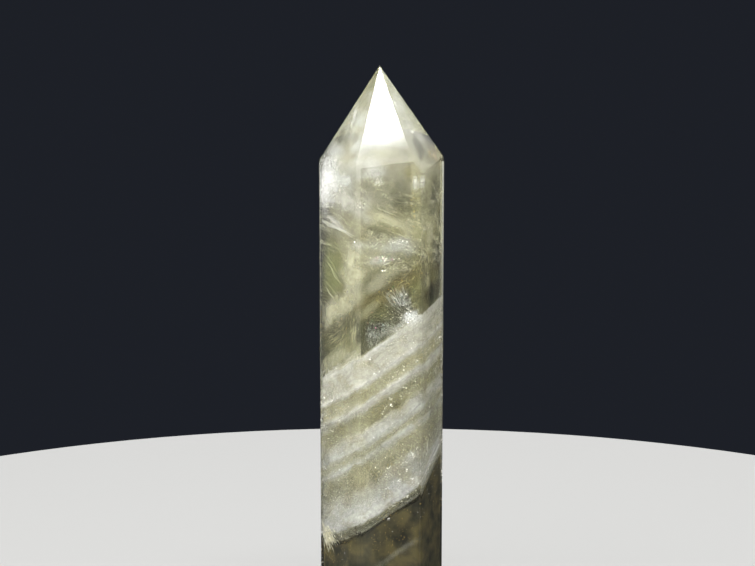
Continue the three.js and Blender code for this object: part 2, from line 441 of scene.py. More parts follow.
def side_lift(points):
    """How far the lowest layers are turned up near the left and right sides."""
    near_bottom = np.clip((LIFT_TOP * MM - growth_height(points)) / (LIFT_FADE * MM), 0, 1)
    right = RIGHT_LIFT[1] * np.clip(points[..., 0] - RIGHT_LIFT[0] * MM, 0, None)
    left = LEFT_LIFT[1] * np.clip(-points[..., 0] - LEFT_LIFT[0] * MM, 0, None)
    return (right + left) * near_bottom


def face_ways(face):
    """Unit vectors out of an upright face, along it to the right, and up."""
    azimuth = math.radians(FACES[face])
    out = np.array([math.cos(azimuth), math.sin(azimuth), 0.0])
    along = np.array([-out[1], out[0], 0.0])
    return out, along, np.array([0.0, 0.0, 1.0])


def behind_face(face, across, height, depth):
    """A point inside the crystal, given in millimetres from a face's centre line."""
    out, along, up = face_ways(face)
    wall = FACE_DISTANCES[np.argmax(FACE_NORMALS @ out)]
    return out * (wall - depth * MM) + along * across * MM + up * height * MM


def patch_distance(points, patch):
    """Distance from a patch's centre, 1 at its outline."""
    out, along, up = face_ways(patch.face)
    way = math.radians(PATCH_WAYS[patch.face])
    back = np.array([math.cos(way), math.sin(way), -PATCH_DROP])
    entry = behind_face(patch.face, patch.across, patch.height, 0.0)
    reach = (points - entry) @ out / (back @ out)
    flat = points - entry - np.outer(reach, back)
    turn = math.radians(patch.turn)
    a = flat @ (along * math.cos(turn) + up * math.sin(turn)) / (patch.wide * MM)
    b = flat @ (up * math.cos(turn) - along * math.sin(turn)) / (patch.tall * MM)
    c = (reach - patch.depth * MM) / (patch.deep * MM)
    return np.sqrt(a * a + b * b + c * c)


def swings(points, seed):
    """A smooth random direction at each point, which gives patches their ragged outlines."""
    drifts = []
    for point in points:
        place = Vector(point)
        drift = noise.noise_vector(place * 260 + Vector((seed, 0, 0)))
        drifts.append(drift + 0.5 * noise.noise_vector(place * 620 + Vector((0, seed, 0))))
    return np.array(drifts)


def fade(values, full, none):
    """1 at full, 0 at none, smooth between."""
    share = np.clip((values - none) / (full - none), 0.0, 1.0)
    return share * share * (3 - 2 * share)


def strongest_patch(points, drifts, patches):
    """The share of the strongest patch at each point, and that patch's tint."""
    share = np.zeros(len(points))
    tint = np.tile(WHITE, (len(points), 1))
    for patch in patches:
        ragged = min(RAGGEDNESS * min(patch.wide, patch.tall), MOST_RAGGED) * MM
        here = patch.share * fade(patch_distance(points + drifts * ragged, patch), 0.3, 1.4)
        wins = here > share
        share[wins] = here[wins]
        if patch.tint:
            tint[wins] = patch.tint
    return share, tint


# ---------------------------------------------------------------- small helpers for node trees


def link(tree, source, target):
    tree.links.new(source, target)


def new_material(name):
    material = bpy.data.materials.new(name)
    material.use_nodes = True
    return material, material.node_tree, material.node_tree.nodes["Principled BSDF"]


def feed(tree, socket, value):
    """Sets a socket to a plain number or colour, or links it to another node's output."""
    if isinstance(value, (int, float)):
        socket.default_value = value
    elif isinstance(value, tuple):
        socket.default_value = (*value, 1.0)
    else:
        link(tree, value, socket)


def add_math(tree, operation, a, b=0.0, clamp=False):
    node = tree.nodes.new("ShaderNodeMath")
    node.operation = operation
    node.use_clamp = clamp
    feed(tree, node.inputs[0], a)
    feed(tree, node.inputs[1], b)
    return node.outputs[0]


def add_noise(tree, vector, scale, detail, distortion=0.0, roughness=0.5):
    node = tree.nodes.new("ShaderNodeTexNoise")
    node.inputs["Scale"].default_value = scale
    node.inputs["Detail"].default_value = detail
    node.inputs["Roughness"].default_value = roughness
    node.inputs["Distortion"].default_value = distortion
    link(tree, vector, node.inputs["Vector"])
    return node.outputs["Fac"]


def add_band(tree, value, low, high):
    """Rises smoothly from 0 to 1 as the value goes from low to high."""
    node = tree.nodes.new("ShaderNodeMapRange")
    node.interpolation_type = "SMOOTHSTEP"
    link(tree, value, node.inputs["Value"])
    node.inputs["From Min"].default_value = low
    node.inputs["From Max"].default_value = high
    return node.outputs["Result"]


def mix_values(tree, share, a, b):
    node = tree.nodes.new("ShaderNodeMix")
    feed(tree, node.inputs[0], share)
    feed(tree, node.inputs[2], a)
    feed(tree, node.inputs[3], b)
    return node.outputs[0]


def mix_colours(tree, share, a, b):
    node = tree.nodes.new("ShaderNodeMix")
    node.data_type = "RGBA"
    feed(tree, node.inputs[0], share)
    feed(tree, node.inputs[6], a)
    feed(tree, node.inputs[7], b)
    return node.outputs[2]


def add_ramp(tree, value, stops):
    """Colour ramp with (position, colour) stops."""
    node = tree.nodes.new("ShaderNodeValToRGB")
    link(tree, value, node.inputs[0])
    elements = node.color_ramp.elements
    while len(elements) < len(stops):
        elements.new(1.0)
    for element, (position, colour) in zip(elements, stops):
        element.position = position
        element.color = (*colour, 1.0)
    return node.outputs["Color"]


def object_place(tree):
    return tree.nodes.new("ShaderNodeTexCoord").outputs["Object"]


def attribute(tree, name, output):
    node = tree.nodes.new("ShaderNodeAttribute")
    node.attribute_name = name
    return node.outputs[output]


def group_socket(tree, name, way, kind, default=None):
    socket = tree.interface.new_socket(name=name, in_out=way, socket_type=kind)
    if default is not None:
        socket.default_value = default


def use_group(tree, group, **inputs):
    node = tree.nodes.new("ShaderNodeGroup")
    node.node_tree = group
    for name, value in inputs.items():
        node.inputs[name.replace("_", " ").title()].default_value = value
    return node


# ---------------------------------------------------------------- how the stone grew, as a shader group


def add_growth_height(tree, where):
    """The growth height of a shaded point, with the layers' waves and their lift at the sides."""
    split = tree.nodes.new("ShaderNodeSeparateXYZ")
    link(tree, where, split.inputs[0])
    x, y, z = split.outputs
    rise = add_math(tree, "MULTIPLY", x, GROWTH_RISE_X)
    lean = add_math(tree, "MULTIPLY", y, GROWTH_RISE_Y)
    plain = add_math(tree, "SUBTRACT", add_math(tree, "SUBTRACT", z, rise), lean)
    swell = add_math(tree, "SUBTRACT", add_noise(tree, where, 70.0, 7.0, 0.0, 0.62), 0.5)
    height = add_math(tree, "ADD", plain, add_math(tree, "MULTIPLY", swell, 3.4 * MM))
    near_bottom = add_math(
        tree,
        "DIVIDE",
        add_math(tree, "SUBTRACT", LIFT_TOP * MM, plain),
        LIFT_FADE * MM,
        clamp=True,
    )
    for side, (start, slope) in ((1.0, RIGHT_LIFT), (-1.0, LEFT_LIFT)):
        outward = add_math(tree, "SUBTRACT", add_math(tree, "MULTIPLY", x, side), start * MM)
        lift = add_math(tree, "MULTIPLY", add_math(tree, "MAXIMUM", outward, 0.0), slope)
        lift = add_math(tree, "MULTIPLY", lift, near_bottom)
        height = add_math(tree, "SUBTRACT", height, lift)
    return height, x, y


def growth_group():
    """Milk and tint of the layer that a point lies in; the milk is streaky low down, wispy high up."""
    tree = bpy.data.node_groups.new("growth", "ShaderNodeTree")
    group_socket(tree, "Gaps", "INPUT", "NodeSocketFloat", 0.5)
    group_socket(tree, "Grain", "INPUT", "NodeSocketFloat", 0.3)
    group_socket(tree, "Milk", "OUTPUT", "NodeSocketFloat")
    group_socket(tree, "Tint", "OUTPUT", "NodeSocketColor")
    group_socket(tree, "Height", "OUTPUT", "NodeSocketFloat")
    group_socket(tree, "Wisps", "OUTPUT", "NodeSocketFloat")
    start = tree.nodes.new("NodeGroupInput")
    end = tree.nodes.new("NodeGroupOutput")
    where = object_place(tree)
    height, x, y = add_growth_height(tree, where)

    low, high = LAYERS[0].height, LAYERS[-1].height
    places = [(layer.height - low) / (high - low) for layer in LAYERS]
    along = add_math(tree, "DIVIDE", add_math(tree, "SUBTRACT", height, low * MM), (high - low) * MM)
    milk = add_ramp(tree, along, [(p, (layer.milk,) * 3) for p, layer in zip(places, LAYERS)])
    clean = add_ramp(tree, along, [(p, layer.tint) for p, layer in zip(places, LAYERS)])
    stain = add_band(tree, add_noise(tree, where, 210.0, 6.0, 0.0, 0.62), 0.46, 0.66)
    stained = add_math(tree, "MULTIPLY", stain, add_math(tree, "SUBTRACT", 1.15, milk, clamp=True))
    tint = mix_colours(tree, stained, clean, HONEY)

    drawn_out = tree.nodes.new("ShaderNodeCombineXYZ")
    link(tree, add_math(tree, "DIVIDE", x, STREAK_LENGTH), drawn_out.inputs[0])
    link(tree, add_math(tree, "DIVIDE", y, STREAK_LENGTH), drawn_out.inputs[1])
    link(tree, height, drawn_out.inputs[2])
    streaks = add_band(tree, add_noise(tree, drawn_out.outputs[0], 420.0, 5.0, 0.0, 0.65), 0.25, 0.66)
    blotches = add_band(tree, add_noise(tree, where, 170.0, 3.0), 0.28, 0.62)
    wisps = add_band(tree, add_noise(tree, where, 160.0, 8.0, 0.25, 0.62), 0.36, 0.68)
    layered = add_math(tree, "MULTIPLY", add_math(tree, "MULTIPLY", streaks, blotches), 1.5)
    upper = add_band(tree, height, MILK_TOP * MM, (MILK_TOP + 8) * MM)
    broken = mix_values(tree, upper, layered, add_math(tree, "MULTIPLY", wisps, 2.2))
    kept = mix_values(tree, start.outputs["Gaps"], 1.0, broken)
    speck = add_math(tree, "MULTIPLY", add_noise(tree, where, 1100.0, 3.0, 0.0, 0.7), 2.0)
    grained = mix_values(tree, start.outputs["Grain"], 1.0, speck)
    share = add_math(tree, "MULTIPLY", add_math(tree, "MULTIPLY", milk, kept), grained)
    link(tree, share, end.inputs["Milk"])
    link(tree, tint, end.inputs["Tint"])
    link(tree, height, end.inputs["Height"])
    link(tree, wisps, end.inputs["Wisps"])
    return tree


# ---------------------------------------------------------------- finishes


def citrine_glass():
    """The clear stone: plain transmission with a smoky yellow absorption."""
    material, tree, shader = new_material("citrine_clear")
    shader.inputs["Base Color"].default_value = (1.0, 1.0, 1.0, 1.0)
    shader.inputs["Metallic"].default_value = 0.0
    shader.inputs["Roughness"].default_value = 0.015
    shader.inputs["IOR"].default_value = 1.544
    shader.inputs["Transmission Weight"].default_value = 1.0
    bump = tree.nodes.new("ShaderNodeBump")
    bump.inputs["Strength"].default_value = 0.3
    bump.inputs["Distance"].default_value = 0.0001
    link(tree, add_noise(tree, object_place(tree), 110.0, 1.0), bump.inputs["Height"])
    link(tree, bump.outputs["Normal"], shader.inputs["Normal"])
    smoke = tree.nodes.new("ShaderNodeVolumeAbsorption")
    smoke.inputs["Color"].default_value = (0.735, 0.745, 0.44, 1.0)
    smoke.inputs["Density"].default_value = 22.0
    link(tree, smoke.outputs[0], tree.nodes["Material Output"].inputs["Volume"])
    return material


def flake_material(name, light, dark, roughness, metallic=0.0, glow=0.0):
    """Small reflecting flakes and blades, each a slightly different tone; a glow, where given, is painted
    light, as the flakes are no lamp.
    """
    material, tree, shader = new_material(name)
    tone = add_noise(tree, object_place(tree), 1400.0, 2.0)
    link(tree, add_ramp(tree, tone, [(0.35, dark), (0.65, light)]), shader.inputs["Base Color"])
    shader.inputs["Roughness"].default_value = roughness
    shader.inputs["Metallic"].default_value = metallic
    # Painted light: the flake glows in its light tone though it is no lamp.
    shader.inputs["Emission Color"].default_value = (*light, 1.0)
    shader.inputs["Emission Strength"].default_value = glow
    return material


def rainbow_material():
    """Flakes along an open crack, which show a different interference colour each."""
    material, tree, shader = new_material("rainbow_flake")
    tone = add_noise(tree, object_place(tree), 900.0, 1.0)
    colours = [
        (0.35, (0.95, 0.45, 0.75)),
        (0.43, (0.98, 0.85, 0.60)),
        (0.50, (0.95, 0.98, 0.92)),
        (0.57, (0.45, 0.95, 0.70)),
        (0.65, (0.50, 0.75, 1.00)),
    ]
    link(tree, add_ramp(tree, tone, colours), shader.inputs["Base Color"])
    shader.inputs["Roughness"].default_value = 0.2
    shader.inputs["Metallic"].default_value = 0.9
    return material


def haze_material(name, growth, gaps, grain, strength):
    """A thin milky film, as dense as its layer says, with clouds and patches of painted shade added and
    windows left out.
    """
    material, tree, shader = new_material(name)
    shader.inputs["Roughness"].default_value = 0.6
    layer = use_group(tree, growth, gaps=gaps, grain=grain)
    wisps = mix_values(tree, 0.45, 1.0, layer.outputs["Wisps"])
    # The cloud attribute and its tint bring both milky clouds and the patches of painted shade.
    cloud = add_math(tree, "MULTIPLY", attribute(tree, "cloud", "Fac"), wisps)
    shut = add_math(tree, "SUBTRACT", 1.0, attribute(tree, "window", "Fac"))
    milk = add_math(tree, "MULTIPLY", layer.outputs["Milk"], shut)
    share = add_math(tree, "MAXIMUM", milk, cloud)
    link(tree, add_math(tree, "MULTIPLY", share, strength, clamp=True), shader.inputs["Alpha"])
    own = add_band(tree, add_math(tree, "SUBTRACT", cloud, milk), -0.2, 0.2)
    tint = mix_colours(tree, own, layer.outputs["Tint"], attribute(tree, "tint", "Color"))
    link(tree, tint, shader.inputs["Base Color"])
    return material


def smoke_and_shade_material(growth):
    """The olive-brown smoky stone under the lowest milky layer, partly its own colour and partly painted
    shade in near-black tones.
    """
    material, tree, shader = new_material("smoky_film")
    shader.inputs["Roughness"].default_value = 0.5
    layer = use_group(tree, growth, gaps=0.0, grain=0.0)
    below = add_math(tree, "SUBTRACT", SMOKE_TOP * MM, layer.outputs["Height"])
    low = add_band(tree, below, 0.0, 1.6 * MM)
    blotch = add_noise(tree, object_place(tree), 210.0, 6.0, 0.0, 0.52)
    # Near-black to olive-brown tones: the stone's smoky colour, darkened further by painted shade.
    stops = [(0.38, (0.036, 0.034, 0.019)), (0.50, (0.078, 0.070, 0.034)), (0.62, (0.145, 0.120, 0.048))]
    link(tree, add_ramp(tree, blotch, stops), shader.inputs["Base Color"])
    thick = add_band(tree, blotch, -0.4, 0.5)
    link(tree, add_math(tree, "MULTIPLY", low, thick), shader.inputs["Alpha"])
    return material


def healed_material():
    """A healed crack: a film of tiny droplets, in patches where it hasn't closed up."""
    material, tree, shader = new_material("healed_veil")
    shader.inputs["Base Color"].default_value = (0.92, 0.91, 0.80, 1.0)
    shader.inputs["Roughness"].default_value = 0.3
    where = object_place(tree)
    droplet = tree.nodes.new("ShaderNodeTexVoronoi")
    droplet.inputs["Scale"].default_value = 1800.0
    link(tree, where, droplet.inputs["Vector"])
    dots = add_math(tree, "SUBTRACT", 0.8, droplet.outputs["Distance"], clamp=True)
    still_open = add_band(tree, add_noise(tree, where, 260.0, 5.0), 0.46, 0.62)
    film = add_math(tree, "MULTIPLY", add_math(tree, "MULTIPLY", still_open, dots), 1.5, clamp=True)
    share = add_math(tree, "MULTIPLY", film, attribute(tree, "cloud", "Fac"))
    link(tree, share, shader.inputs["Alpha"])
    return material


# ---------------------------------------------------------------- flakes


def flake_tree():
    """Geometry Nodes: puts one small flat flake on every seed point, tumbled and sized at random."""
    tree = bpy.data.node_groups.new("sealed_flakes", "GeometryNodeTree")
    group_socket(tree, "Geometry", "INPUT", "NodeSocketGeometry")
    group_socket(tree, "Flake Size", "INPUT", "NodeSocketFloat", 0.0003)
    group_socket(tree, "Size Spread", "INPUT", "NodeSocketFloat", 0.5)
    group_socket(tree, "Slimness", "INPUT", "NodeSocketFloat", 0.6)
    group_socket(tree, "Tumble", "INPUT", "NodeSocketFloat", math.pi)
    group_socket(tree, "Corners", "INPUT", "NodeSocketInt", 4)
    group_socket(tree, "Seed", "INPUT", "NodeSocketInt", 1)
    group_socket(tree, "Material", "INPUT", "NodeSocketMaterial")
    group_socket(tree, "Geometry", "OUTPUT", "NodeSocketGeometry")
    start = tree.nodes.new("NodeGroupInput")
    end = tree.nodes.new("NodeGroupOutput")

    plate = tree.nodes.new("GeometryNodeMeshCircle")
    plate.fill_type = "NGON"
    link(tree, start.outputs["Corners"], plate.inputs["Vertices"])
    plate.inputs["Radius"].default_value = 0.5

    size = tree.nodes.new("FunctionNodeRandomValue")
    size.data_type = "FLOAT"
    size.inputs[3].default_value = 1.0
    smallest = add_math(tree, "SUBTRACT", 1.0, start.outputs["Size Spread"])
    link(tree, smallest, size.inputs[2])
    link(tree, start.outputs["Seed"], size.inputs["Seed"])
    across = add_math(tree, "MULTIPLY", size.outputs[1], start.outputs["Flake Size"])
    narrow = add_math(tree, "MULTIPLY", across, start.outputs["Slimness"])
    scale = tree.nodes.new("ShaderNodeCombineXYZ")
    link(tree, across, scale.inputs[0])
    link(tree, narrow, scale.inputs[1])
    link(tree, across, scale.inputs[2])

    turn = tree.nodes.new("FunctionNodeRandomValue")
    turn.data_type = "FLOAT_VECTOR"
    link(tree, start.outputs["Seed"], turn.inputs["Seed"])
    most = tree.nodes.new("ShaderNodeCombineXYZ")
    least = tree.nodes.new("ShaderNodeCombineXYZ")
    back = add_math(tree, "MULTIPLY", start.outputs["Tumble"], -1.0)
    for axis in (0, 1):
        link(tree, start.outputs["Tumble"], most.inputs[axis])
        link(tree, back, least.inputs[axis])
    most.inputs[2].default_value = math.pi
    least.inputs[2].default_value = -math.pi
    link(tree, least.outputs[0], turn.inputs[0])
    link(tree, most.outputs[0], turn.inputs[1])

    lean = tree.nodes.new("FunctionNodeAlignRotationToVector")
    lean.axis = "Z"
    lean.inputs["Vector"].default_value = GROWTH_NORMAL
    tumble = tree.nodes.new("FunctionNodeRotateRotation")
    tumble.rotation_space = "LOCAL"
    link(tree, lean.outputs[0], tumble.inputs[0])
    link(tree, turn.outputs[0], tumble.inputs[1])

    place = tree.nodes.new("GeometryNodeInstanceOnPoints")
    link(tree, start.outputs["Geometry"], place.inputs["Points"])
    link(tree, plate.outputs["Mesh"], place.inputs["Instance"])
    link(tree, tumble.outputs[0], place.inputs["Rotation"])
    link(tree, scale.outputs[0], place.inputs["Scale"])
    real = tree.nodes.new("GeometryNodeRealizeInstances")
    link(tree, place.outputs[0], real.inputs[0])
    paint = tree.nodes.new("GeometryNodeSetMaterial")
    link(tree, real.outputs[0], paint.inputs["Geometry"])
    link(tree, start.outputs["Material"], paint.inputs["Material"])
    link(tree, paint.outputs[0], end.inputs["Geometry"])
    return tree


def set_input(modifier, name, value):
    for item in modifier.node_group.interface.items_tree:
        if item.item_type == "SOCKET" and item.in_out == "INPUT" and item.name == name:
            modifier[item.identifier] = value
            return
    raise KeyError(name)


def grow_flakes(name, points, tree, material, **sizes):
    """A plain mesh of flakes on the points that lie well inside the crystal."""
    points = points[depth_inside(points) > FLAKE_MARGIN]
    seeds = bpy.data.meshes.new(name + "_seeds")
    seeds.from_pydata([tuple(p) for p in points], [], [])
    holder = new_object(name + "_seeds", seeds)
    modifier = holder.modifiers.new("flakes", "NODES")
    modifier.node_group = tree
    set_input(modifier, "Material", material)
    for key, value in sizes.items():
        set_input(modifier, key.replace("_", " ").title(), value)
    graph = bpy.context.evaluated_depsgraph_get()
    mesh = bpy.data.meshes.new_from_object(holder.evaluated_get(graph))
    bpy.data.objects.remove(holder)
    mesh.name = name
    return new_object(name, mesh)


def on_growth_plane(flat, height):
    """Points over flat x and y places, on the growth planes of the given heights, with their lift."""
    z = height + GROWTH_RISE_X * flat[:, 0] + GROWTH_RISE_Y * flat[:, 1]
    points = np.column_stack([flat, z])
    points[:, 2] += side_lift(points)
    return points


def milk_points(count, seed):
    """Random points in the milky layers, as dense as each layer is milky and denser near the skin."""
    rng = np.random.default_rng(seed)
    reach = max(cad_box[1][0], cad_box[1][1])
    heights = [layer.height for layer in LAYERS]
    shares = [layer.milk for layer in LAYERS]
    points = np.empty((0, 3))
    while len(points) < count:
        flat = rng.uniform(-reach, reach, (count, 2))
        height = rng.uniform(LAYERS[0].height, MILK_TOP, count)
        batch = on_growth_plane(flat, height * MM)
        window, _ = strongest_patch(batch, np.zeros_like(batch), WINDOWS)
        share = np.interp(height, heights, shares) * (1 - window)
        depth = depth_inside(batch)
        share *= np.exp(-np.maximum(depth, 0) / (GRAIN_DEPTH * MM))
        keep = (rng.random(count) < share) & (depth > 0)
        points = np.vstack([points, batch[keep]])
    return points[:count]


def along_layers(layers, seed, spread=SPARKLE_SPREAD):
    """Points strewn along growth layers, most of them close behind the outer faces."""
    rng = np.random.default_rng(seed)
    batches = []
    for layer in layers:
        azimuth = rng.uniform(0, 2 * math.pi, layer.count)
        depth = FLAKE_MARGIN + rng.exponential(spread, layer.count)
        reach = section_radius(azimuth, 0.0) - depth
        flat = np.column_stack([np.cos(azimuth) * reach, np.sin(azimuth) * reach])
        height = rng.normal(layer.height, layer.thickness, layer.count)
        batches.append(on_growth_plane(flat, height * MM))
    return np.vstack(batches)


def about_spots(spots, seed):
    """Points scattered about spots behind the faces."""
    rng = np.random.default_rng(seed)
    batches = []
    for spot in spots:
        out, along, up = face_ways(spot.face)
        centre = behind_face(spot.face, spot.across, spot.height, spot.depth)
        a, b, c = rng.normal(0, 1, (3, spot.count)) * MM
        shift = np.outer(a * spot.wide, along) + np.outer(b * spot.tall, up)
        batches.append(centre + shift - np.outer(np.abs(c) * spot.deep, out))
    return np.vstack(batches)


def clumped(points, seed):
    """Keeps the points that lie in the denser half of a smooth random pattern."""
    shift = Vector((seed, 0, 0))
    keep = [noise.noise(Vector(point) * 330 + shift) > 0.05 for point in points]
    return points[keep]


# ---------------------------------------------------------------- films and sheets


def section_radius(azimuths, inset):
    """How far the prism's wall is from the axis in each direction."""
    walls = FACE_NORMALS[np.abs(FACE_NORMALS[:, 2]) < 0.01]
    gaps = FACE_DISTANCES[np.abs(FACE_NORMALS[:, 2]) < 0.01] - inset
    ways = np.stack([np.cos(azimuths), np.sin(azimuths)], axis=1)
    facing = ways @ walls[:, :2].T
    reach = np.where(facing > 1e-6, gaps[None, :] / np.maximum(facing, 1e-6), np.inf)
    return reach.min(axis=1)


def cross_sheet(height, rises, waviness, seed, rings=22, spokes=84):
    """Vertices and faces of one wavy sheet across the whole prism, leaning by its two rises."""
    azimuths = np.linspace(0, 2 * math.pi, spokes, endpoint=False)
    edge = section_radius(azimuths, SHEET_INSET)
    flat = [(0.0, 0.0)]
    for ring in range(1, rings + 1):
        share = ring / rings
        flat += [(math.cos(a) * r * share, math.sin(a) * r * share) for a, r in zip(azimuths, edge)]
    verts = []
    for x, y in flat:
        wave = noise.noise(Vector((x * 180, y * 180, seed * 7.3)))
        ripple = noise.noise(Vector((x * 700, y * 700, seed * 3.1)))
        verts.append((x, y, height + rises[0] * x + rises[1] * y + waviness * (wave + 0.3 * ripple)))
    faces = [(0, 1 + i, 1 + (i + 1) % spokes) for i in range(spokes)]
    for ring in range(1, rings):
        inner, outer = 1 + (ring - 1) * spokes, 1 + ring * spokes
        for i in range(spokes):
            j = (i + 1) % spokes
            faces.append((inner + i, outer + i, outer + j, inner + j))
    return verts, faces


def inner_skin(depth, low, high, waviness, seed, rows, spokes=108):
    """Vertices and faces of a wavy film that follows the outer faces from inside, at one depth."""
    azimuths = np.linspace(0, 2 * math.pi, spokes, endpoint=False)
    ways = np.stack([np.cos(azimuths), np.sin(azimuths)], axis=1)
    facing = ways @ FACE_NORMALS[:, :2].T
    verts, faces = [], []
    for row, z in enumerate(np.linspace(low, high, rows)):
        room = FACE_DISTANCES - depth - FACE_NORMALS[:, 2] * z
        reach = np.where(facing > 1e-6, room[None, :] / np.maximum(facing, 1e-6), np.inf).min(axis=1)
        for a, r in zip(azimuths, np.maximum(reach, 0.05 * MM)):
            x, y = r * math.cos(a), r * math.sin(a)
            dent = noise.noise(Vector((x * 160, y * 160, z * 160 + seed * 5.7)))
            r = r - min(waviness, r) * (0.5 + 0.5 * dent)
            verts.append((r * math.cos(a), r * math.sin(a), z))
        if row:
            below, above = (row - 1) * spokes, row * spokes
            for i in range(spokes):
                j = (i + 1) % spokes
                faces.append((below + i, below + j, above + j, above + i))
    return verts, faces


def joined(parts):
    """Joins lists of vertices and faces into one."""
    verts, faces = [], []
    for part_verts, part_faces in parts:
        start = len(verts)
        verts += list(part_verts)
        faces += [tuple(start + i for i in face) for face in part_faces]
    return verts, faces


def film_object(name, sheets, material):
    """One piece made of sheets, with its smooth normals."""
    verts, faces = joined(sheets)
    mesh = bpy.data.meshes.new(name)
    mesh.from_pydata(verts, [], faces)
    mesh.materials.append(material)
    mesh.shade_smooth()
    return new_object(name, mesh)


def paint(piece, name, values):
    mesh = piece.data
    if values.ndim == 1:
        mesh.attributes.new(name, "FLOAT", "POINT").data.foreach_set("value", values)
        return
    opaque = np.ones((len(values), 1))
    colours = np.hstack([values, opaque]).ravel()
    mesh.attributes.new(name, "FLOAT_COLOR", "POINT").data.foreach_set("color", colours)


def paint_patches(piece):
    """Marks where a film runs through a cloud or a patch of painted shade, a clear window or the clear tip.
    """
    points = np.array([v.co for v in piece.data.vertices])
    drifts = swings(points, 17)
    # These cloud shares and tints include the patches of painted shade.
    cloud, tint = strongest_patch(points, drifts, CLOUDS_AND_PAINTED_SHADE)
    window, _ = strongest_patch(points, drifts, WINDOWS)
    tip = TIP_CLEARNESS * fade(points[:, 2], TIP_CLEAR_FROM[1] * MM, TIP_CLEAR_FROM[0] * MM)
    paint(piece, "cloud", cloud)
    paint(piece, "tint", tint)
    paint(piece, "window", np.maximum(window, tip))


def growth_sheets(name, heights, waviness, material, seed):
    """Thin sheets that follow the brightest growth layers."""
    sheets = []
    for number, height in enumerate(heights):
        rises = (GROWTH_RISE_X, GROWTH_RISE_Y)
        verts, faces = cross_sheet(height * MM, rises, waviness * MM, seed + number)
        points = np.array(verts)
        points[:, 2] += side_lift(points)
        sheets.append((points.tolist(), faces))
    piece = film_object(name, sheets, material)
    paint_patches(piece)
    return piece


def healed_sheets(name, planes, waviness, material, seed):
    """Sheets of healed cracks, which stop where they meet the brown layers."""
    sheets = [
        cross_sheet(plane.height * MM, (plane.rise_x, plane.rise_y), waviness * MM, seed + number)
        for number, plane in enumerate(planes)
    ]
    piece = film_object(name, sheets, material)
    points = np.array([v.co for v in piece.data.vertices])
    full, none = HEALED_FADE
    paint(piece, "cloud", HEALED_SHARE * fade(growth_height(points), full * MM, none * MM))
    return piece


def nested_films(name, depths, low, high, waviness, material, seed, rows):
    """Films inside each other, each following the outer faces at its own depth."""
    sheets = [
        inner_skin(depth * MM, low * MM, high * MM, waviness * MM, seed + number, rows)
        for number, depth in enumerate(depths)
    ]
    return film_object(name, sheets, material)


# ---------------------------------------------------------------- cracks


def sealed_mesh(name, parts, material):
    """A plain mesh of the parts' faces, without those that would reach the skin."""
    verts, faces = joined(parts)
    points = np.array(verts)
    inside = depth_inside(points) > CRACK_MARGIN
    faces = [face for face in faces if inside[list(face)].all()]
    used = sorted({i for face in faces for i in face})
    fresh = {old: new for new, old in enumerate(used)}
    mesh = bpy.data.meshes.new(name)
    mesh.from_pydata(points[used].tolist(), [], [[fresh[i] for i in face] for face in faces])
    mesh.materials.append(material)
    return new_object(name, mesh)


def blade(centre, way, across, length, width, bend):
    """One slim four-cornered blade, a little bent across its length."""
    corners = [
        centre - way * length / 2,
        centre + across * (width + bend),
        centre + way * length / 2,
        centre - across * (width - bend),
    ]
    return corners, [(0, 1, 2, 3)]


def feather_blades(feather, seed):
    """Fine blades in a lens-shaped field, all pointing away from its focus."""
    rng = np.random.default_rng(seed)
    out, along, up = face_ways(feather.face)
    centre = behind_face(feather.face, feather.across, feather.height, feather.depth)
    focus = np.array([feather.focus_across, feather.focus_height])
    parts = []
    for _ in range(feather.count):
        spot = rng.normal(0, 0.5, 2) * (feather.wide, feather.tall)
        ray = spot - focus
        ray = ray / np.linalg.norm(ray) + rng.normal(0, feather.stray, 2)
        way = along * ray[0] + up * ray[1] + out * rng.normal(0, 0.35)
        way /= np.linalg.norm(way)
        across = np.cross(way, out + along * rng.normal(0, 0.5))
        across /= np.linalg.norm(across)
        depth = rng.normal(0, feather.deep / 2)
        place = centre + (along * spot[0] + up * spot[1] + out * depth) * MM
        length = feather.length * rng.uniform(0.25, 1.0) * MM
        width = feather.width * rng.uniform(0.3, 1.0) * MM
        parts.append(blade(place, way, across, length, width, rng.normal(0, 0.04) * length))
    return parts


def feathers(name, fields, material):
    parts = [part for seed, field in enumerate(fields) for part in feather_blades(field, seed)]
    return sealed_mesh(name, parts, material)


def ribbon(start, end, bow, width, rng, steps=9):
    """A narrow ribbon that bows and frays between two points."""
    along = end - start
    side = np.cross(along, (0.0, 1.0, 0.0))
    side /= np.linalg.norm(side)
    verts, faces = [], []
    for step in range(steps + 1):
        share = step / steps
        arch = math.sin(math.pi * share)
        middle = start + along * share + side * (bow * arch + rng.normal(0, 0.05) * MM)
        half = width * (0.25 + arch) * rng.uniform(0.4, 1.0)
        lean = np.array([0.0, rng.uniform(-0.6, 0.6), 0.0]) * half
        verts += [middle - side * half - lean, middle + side * half + lean]
        if step:
            k = 2 * step
            faces.append((k - 2, k - 1, k + 1, k))
    return verts, faces


def hair_cracks(name, families, material):
    """Families of near-parallel hair cracks, spread about their first member."""
    parts = []
    for seed, crack in enumerate(families):
        rng = np.random.default_rng(100 + seed)
        for member in range(crack.count):
            shift = rng.normal(0, crack.scatter, 2) if member else np.zeros(2)
            size = rng.uniform(0.45, 1.0) if member else 1.0
            depth = abs(crack.depth + rng.normal(0, 0.5)) + 0.3
            across, height = crack.across + shift[0], crack.height + shift[1]
            start = behind_face(crack.face, across, height, depth)
            across, height = across + crack.run * size, height - crack.drop * size
            end = behind_face(crack.face, across, height, depth + rng.normal(0, 0.4))
            bow = rng.normal(0, 0.35) * MM
            parts.append(ribbon(start, end, bow, crack.width * rng.uniform(0.5, 1.2) * MM, rng))
    return sealed_mesh(name, parts, material)


# ---------------------------------------------------------------- studio


